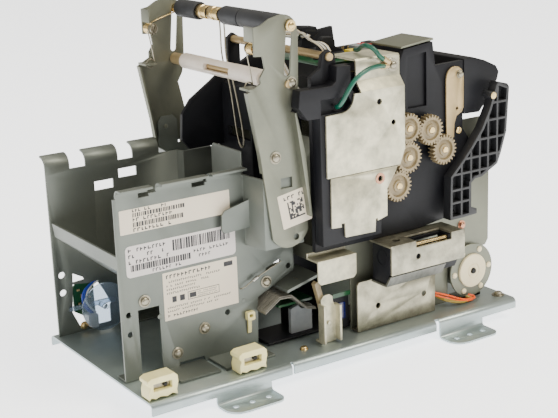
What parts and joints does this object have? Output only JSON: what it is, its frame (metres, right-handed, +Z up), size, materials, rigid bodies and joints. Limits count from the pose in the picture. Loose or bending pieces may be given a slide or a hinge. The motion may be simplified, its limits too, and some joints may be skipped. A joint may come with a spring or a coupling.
{
  "type": "thermal receipt printer module",
  "caption": "Open-frame receipt printer: paper bucket, sprung tension bar between its arms, geared print mechanism, presenter and stepper on a folded steel base plate.",
  "frame": {"origin": "on the floor, midway along and across the base plate", "axes": "+X along the base plate from the paper bucket to the stepper motor, +Y across it away from the gear side, +Z up"},
  "size_m": [0.25, 0.154, 0.1976],
  "materials": {
    "zinc_sheet": "zinc-plated sheet steel, satin, slightly yellow-green",
    "zinc_blue": "zinc-plated sheet steel, satin, slightly blue",
    "black_plastic": "black moulded plastic, fine matt texture",
    "black_rubber": "dark rubber, matt",
    "nylon": "natural white nylon",
    "cream_nylon": "cream nylon, slightly yellow",
    "brass": "turned brass",
    "steel": "bright ground steel",
    "tan_steel": "yellow-passivated sheet steel",
    "clear_blue": "blue-tinted clear plastic",
    "board": "green lacquered circuit board",
    "green_wire": "green wire insulation",
    "orange_wire": "orange and brown wire insulation",
    "cream_wire": "cream sleeve over thin wires"
  },
  "bodies": {
    "frame": {"base_plate": "zinc_blue", "bucket_near_wall": "zinc_blue", "bucket_far_wall": "zinc_blue", "bucket_rear_wall": "zinc_blue", "paper_cradle": "zinc_blue", "sensor_disc": "clear_blue", "cable_clip_1": "cream_nylon", "cable_clip_2": "cream_nylon", "arm_near": "zinc_sheet", "arm_far": "zinc_sheet", "shield_upper": "zinc_sheet", "shield_lower": "zinc_sheet", "top_cover": "zinc_sheet", "near_mechanism_plate": "zinc_sheet", "far_mechanism_plate": "zinc_sheet", "feed_motor": "zinc_sheet", "presenter_cover": "zinc_sheet", "presenter_mount_plate": "zinc_sheet", "guide_bracket": "zinc_sheet", "latch_channel": "zinc_sheet", "stepper_motor": "zinc_sheet", "guide_shaft": "steel", "wire_guide": "steel", "head_spring_bar": "steel", "fixed_blade": "steel", "top_shaft": "steel", "guide_tube": "nylon", "near_side_frame": "black_plastic", "far_side_frame": "black_plastic", "paper_throat": "black_plastic", "near_cover": "black_plastic", "head_housing": "black_plastic", "ribbed_bracket": "black_plastic", "presenter_body": "black_plastic", "control_board": "board", "head_lock_plate": "tan_steel", "ground_wire_long": "green_wire", "ground_wire_short": "green_wire", "motor_leads": "orange_wire", "head_harness": "cream_wire"},
    "tension_bar_assembly": {"tension_bar": "steel", "brass_bush_1": "brass", "brass_bush_2": "brass"},
    "rubber_roller_near": {"rubber_roller_3": "black_rubber"},
    "rubber_roller_middle": {"rubber_roller_2": "black_rubber"},
    "rubber_roller_far": {"rubber_roller_1": "black_rubber"},
    "bar_spring_near": {"torsion_spring_near": "brass"},
    "bar_spring_far": {"torsion_spring_far": "brass"},
    "platen": {"platen_gear": "nylon", "platen_shaft": "brass", "platen_rubber": "black_rubber"},
    "upper_idler": {"idler_gear_upper": "nylon"},
    "feed_roller_assembly": {"feed_gear": "nylon", "feed_roller": "steel"},
    "lower_idler": {"idler_gear_lower": "nylon"},
    "feed_motor_rotor": {"motor_gear": "nylon"},
    "head": {"print_head": "zinc_sheet"},
    "cutter": {"cutter_blade": "steel"},
    "lever": {"release_lever": "nylon"},
    "stepper_rotor": {"motor_shaft": "steel"}
  },
  "joints": [
    {"name": "tension_bar_slide", "type": "slide", "parent": "frame", "child": "tension_bar_assembly", "axis": [-0.0983, 0, -0.9952], "range_m": [0, 0.0195], "stiffness_N_per_m": 40, "springref_m": -0.03},
    {"name": "rubber_roller_near_spin", "type": "hinge", "parent": "tension_bar_assembly", "child": "rubber_roller_near", "pos_m": [-0.0245, 0, 0.1915], "axis": [0, -1, 0], "continuous": true},
    {"name": "rubber_roller_middle_spin", "type": "hinge", "parent": "tension_bar_assembly", "child": "rubber_roller_middle", "pos_m": [-0.0245, 0, 0.1915], "axis": [0, -1, 0], "continuous": true},
    {"name": "rubber_roller_far_spin", "type": "hinge", "parent": "tension_bar_assembly", "child": "rubber_roller_far", "pos_m": [-0.0245, 0, 0.1915], "axis": [0, -1, 0], "continuous": true},
    {"name": "bar_spring_near_turn", "type": "hinge", "parent": "frame", "child": "bar_spring_near", "pos_m": [-0.044, 0, 0.181], "axis": [0, -1, 0], "range_deg": [-60, 0]},
    {"name": "bar_spring_far_turn", "type": "hinge", "parent": "frame", "child": "bar_spring_far", "pos_m": [-0.044, 0, 0.181], "axis": [0, -1, 0], "range_deg": [-60, 0]},
    {"name": "platen_spin", "type": "hinge", "parent": "frame", "child": "platen", "pos_m": [0.0634, 0, 0.1244], "axis": [0, -1, 0], "continuous": true},
    {"name": "upper_idler_spin", "type": "hinge", "parent": "frame", "child": "upper_idler", "pos_m": [0.0476, 0, 0.1275], "axis": [0, -1, 0], "continuous": true},
    {"name": "feed_roller_spin", "type": "hinge", "parent": "frame", "child": "feed_roller_assembly", "pos_m": [0.0732, 0, 0.1116], "axis": [0, -1, 0], "continuous": true},
    {"name": "lower_idler_spin", "type": "hinge", "parent": "frame", "child": "lower_idler", "pos_m": [0.0473, 0, 0.11105], "axis": [0, -1, 0], "continuous": true},
    {"name": "feed_motor_spin", "type": "hinge", "parent": "frame", "child": "feed_motor_rotor", "pos_m": [0.0397, 0, 0.0961], "axis": [0, -1, 0], "continuous": true},
    {"name": "print_head_tilt", "type": "hinge", "parent": "frame", "child": "head", "pos_m": [0.05, 0, 0.134], "axis": [0, 1, 0], "range_deg": [0, 8], "stiffness_Nm_per_rad": 0.5, "springref_deg": -11.46},
    {"name": "cutter_stroke", "type": "slide", "parent": "frame", "child": "cutter", "axis": [-1, 0, 0], "range_m": [0, 0.006]},
    {"name": "release_lever_turn", "type": "hinge", "parent": "frame", "child": "lever", "pos_m": [-0.006, 0, 0.024], "axis": [0, 1, 0], "range_deg": [-12, 12], "stiffness_Nm_per_rad": 0.01},
    {"name": "stepper_spin", "type": "hinge", "parent": "frame", "child": "stepper_rotor", "pos_m": [0.1044, 0, 0.0298], "axis": [0, -1, 0], "continuous": true}
  ],
  "couplings": [
    {"joint": "bar_spring_near_turn", "follows": "tension_bar_slide", "rad_per_m": -50.7},
    {"joint": "bar_spring_far_turn", "follows": "tension_bar_slide", "rad_per_m": -50.7},
    {"joint": "upper_idler_spin", "follows": "platen_spin", "ratio": -1},
    {"joint": "feed_roller_spin", "follows": "platen_spin", "ratio": -1},
    {"joint": "lower_idler_spin", "follows": "platen_spin", "ratio": 0.95833},
    {"joint": "feed_motor_spin", "follows": "platen_spin", "ratio": -0.95833}
  ]
}
